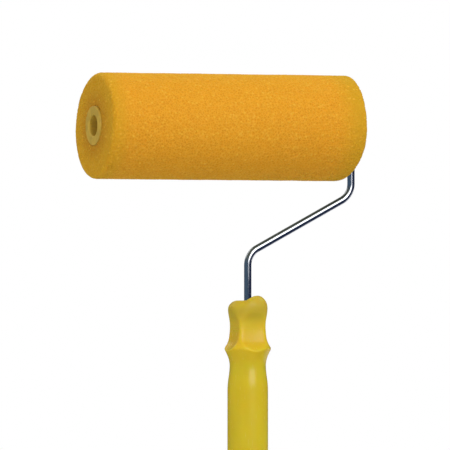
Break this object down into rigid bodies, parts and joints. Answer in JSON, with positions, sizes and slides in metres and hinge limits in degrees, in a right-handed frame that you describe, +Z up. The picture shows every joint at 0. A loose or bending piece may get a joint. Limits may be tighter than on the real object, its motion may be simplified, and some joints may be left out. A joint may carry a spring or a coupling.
{
  "type": "paint roller",
  "caption": "Wall paint roller: a coarse open-cell foam cover spinning on a bent steel wire frame, with a moulded plastic grip and a pole socket.",
  "frame": {"origin": "centre of the handle's lower end, in the mouth of the pole socket", "axes": "+Z up the handle's axis, +X along the roller towards the arm of the wire frame, -Y the front"},
  "size_m": [0.2309, 0.086, 0.318],
  "materials": {
    "foam": "matte",
    "core_tube": "satin",
    "bush": "satin",
    "wire": "polished",
    "zinc": "satin",
    "handle": "gloss",
    "insert": "satin"
  },
  "bodies": {
    "frame": {"wire_frame": "wire", "free_end_washer": "zinc", "frame_end_washer": "zinc", "stop_collar": "zinc", "push_nut": "zinc", "handle_shell": "handle", "pole_insert": "insert"},
    "roller": {"foam_sleeve": "foam", "core_tube": "core_tube", "free_end_bush": "bush", "frame_end_bush": "bush"}
  },
  "joints": [
    {"name": "roller_spin", "type": "hinge", "parent": "frame", "child": "roller", "pos_m": [-0.025, 0, 0.275], "axis": [1, 0, 0], "continuous": true}
  ]
}
